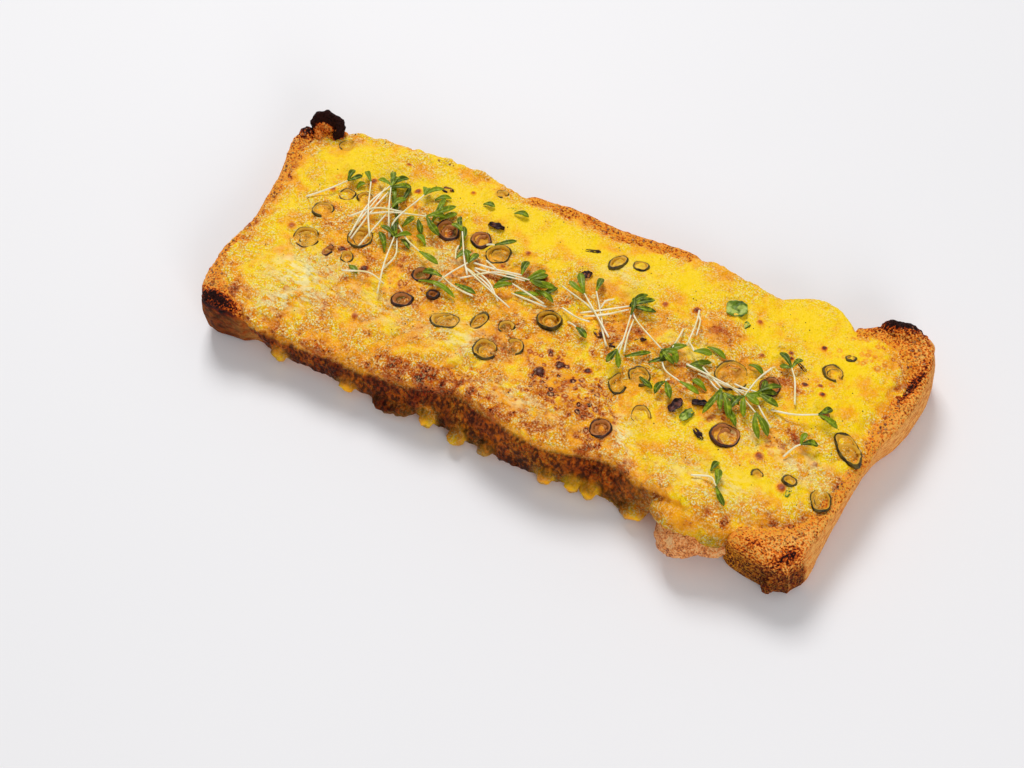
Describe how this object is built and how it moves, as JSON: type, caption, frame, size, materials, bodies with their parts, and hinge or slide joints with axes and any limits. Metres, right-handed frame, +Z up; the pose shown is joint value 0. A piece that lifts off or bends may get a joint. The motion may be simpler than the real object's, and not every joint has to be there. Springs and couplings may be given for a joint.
{
  "type": "tuna bread",
  "caption": "Open baked loaf cut lengthwise, spread with tuna and covered with browned melted cheese, onion rings and cress.",
  "frame": {"origin": "on the surface that the loaf rests on, under the middle of its box", "axes": "+X along the loaf towards its wide end, +Y across it towards the side away from the viewer, +Z up"},
  "size_m": [0.2571, 0.117, 0.0274],
  "materials": {
    "bread": "baked crust, tan to dark brown, burnt at the corners",
    "tuna": "moist flaked tuna, pinkish tan",
    "cheese": "melted cheese, glossy yellow, browned to orange",
    "spring_onion": "cooked spring onion, dark green rim, pale inside, burnt in places",
    "cress": "fresh cress, green leaves on cream stems"
  },
  "bodies": {
    "root": {"bread": "bread", "tuna_filling": "tuna", "melted_cheese": "cheese", "spring_onion_ring_01": "spring_onion", "spring_onion_ring_02": "spring_onion", "spring_onion_ring_03": "spring_onion", "spring_onion_ring_04": "spring_onion", "spring_onion_ring_05": "spring_onion", "spring_onion_ring_06": "spring_onion", "spring_onion_ring_07": "spring_onion", "spring_onion_ring_08": "spring_onion", "spring_onion_ring_09": "spring_onion", "spring_onion_ring_10": "spring_onion", "spring_onion_ring_11": "spring_onion", "spring_onion_ring_12": "spring_onion", "spring_onion_ring_13": "spring_onion", "spring_onion_ring_14": "spring_onion", "spring_onion_ring_15": "spring_onion", "spring_onion_ring_16": "spring_onion", "spring_onion_ring_17": "spring_onion", "spring_onion_ring_18": "spring_onion", "spring_onion_ring_19": "spring_onion", "spring_onion_ring_20": "spring_onion", "spring_onion_ring_21": "spring_onion", "spring_onion_ring_22": "spring_onion", "spring_onion_ring_23": "spring_onion", "spring_onion_ring_24": "spring_onion", "spring_onion_ring_25": "spring_onion", "spring_onion_ring_26": "spring_onion", "spring_onion_ring_27": "spring_onion", "spring_onion_ring_28": "spring_onion", "spring_onion_ring_29": "spring_onion", "spring_onion_ring_30": "spring_onion", "onion_leaf_green": "spring_onion", "onion_scrap_burnt_1": "spring_onion", "onion_scrap_burnt_2": "spring_onion", "onion_scrap_burnt_3": "spring_onion", "onion_scrap_burnt_4": "spring_onion", "cress_left_end": "cress", "cress_left": "cress", "cress_middle": "cress", "cress_centre": "cress", "cress_right": "cress", "cress_right_sprig": "cress", "cress_far_sprig": "cress", "cress_front_sprig": "cress", "cress_front_leaf": "cress"}
  },
  "joints": []
}
